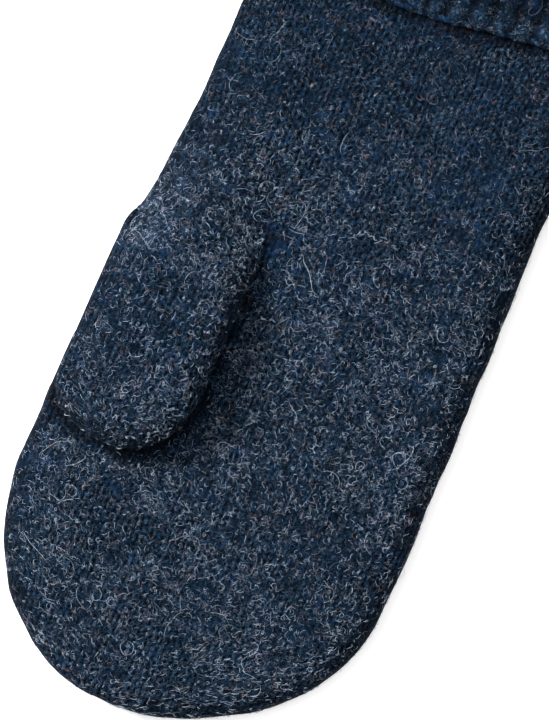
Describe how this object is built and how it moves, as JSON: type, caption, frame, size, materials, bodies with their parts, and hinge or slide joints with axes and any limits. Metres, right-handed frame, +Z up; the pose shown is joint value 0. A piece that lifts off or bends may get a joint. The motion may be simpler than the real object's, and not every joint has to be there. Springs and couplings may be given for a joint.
{
  "type": "wool mitten",
  "caption": "Right-hand mitten of thick fulled wool, with a thumb that lifts off the palm and a ribbed cuff turned up at the wrist.",
  "frame": {"origin": "centre of the bounding box, on the surface that the mitten lies on", "axes": "+X to the right across the palm, +Y along the mitten from the fingertip to the cuff, +Z up out of the palm"},
  "size_m": [0.1058, 0.268, 0.0255],
  "materials": {
    "wool_knit": "fulled stockinette in mottled navy wool, matt and hairy",
    "wool_rib": "fulled rib in the same mottled navy wool",
    "linking_yarn": "navy wool yarn, matt",
    "label_tape": "plain woven off-white tape, slight sheen"
  },
  "bodies": {
    "hand": {"palm_panel": "wool_knit", "back_panel": "wool_knit", "hand_edge_seam": "linking_yarn", "thumb_base_seam": "linking_yarn", "cuff_palm_rib": "wool_rib", "cuff_back_rib": "wool_rib", "cuff_joining_seam": "linking_yarn", "care_label": "label_tape"},
    "thumb": {"thumb_top_panel": "wool_knit", "thumb_under_panel": "wool_knit", "thumb_edge_seam": "linking_yarn"},
    "turn_up": {"turn_up_palm_rib": "wool_rib", "turn_up_back_rib": "wool_rib", "cast_on_edge": "wool_rib"}
  },
  "joints": [
    {"name": "thumb_lift", "type": "hinge", "parent": "hand", "child": "thumb", "pos_m": [-0.0325, -0.003, 0.019], "axis": [-1, 0, 0], "range_deg": [0, 90]},
    {"name": "cuff_unroll", "type": "slide", "parent": "hand", "child": "turn_up", "axis": [0, 1, 0], "range_m": [0, 0.05]}
  ]
}
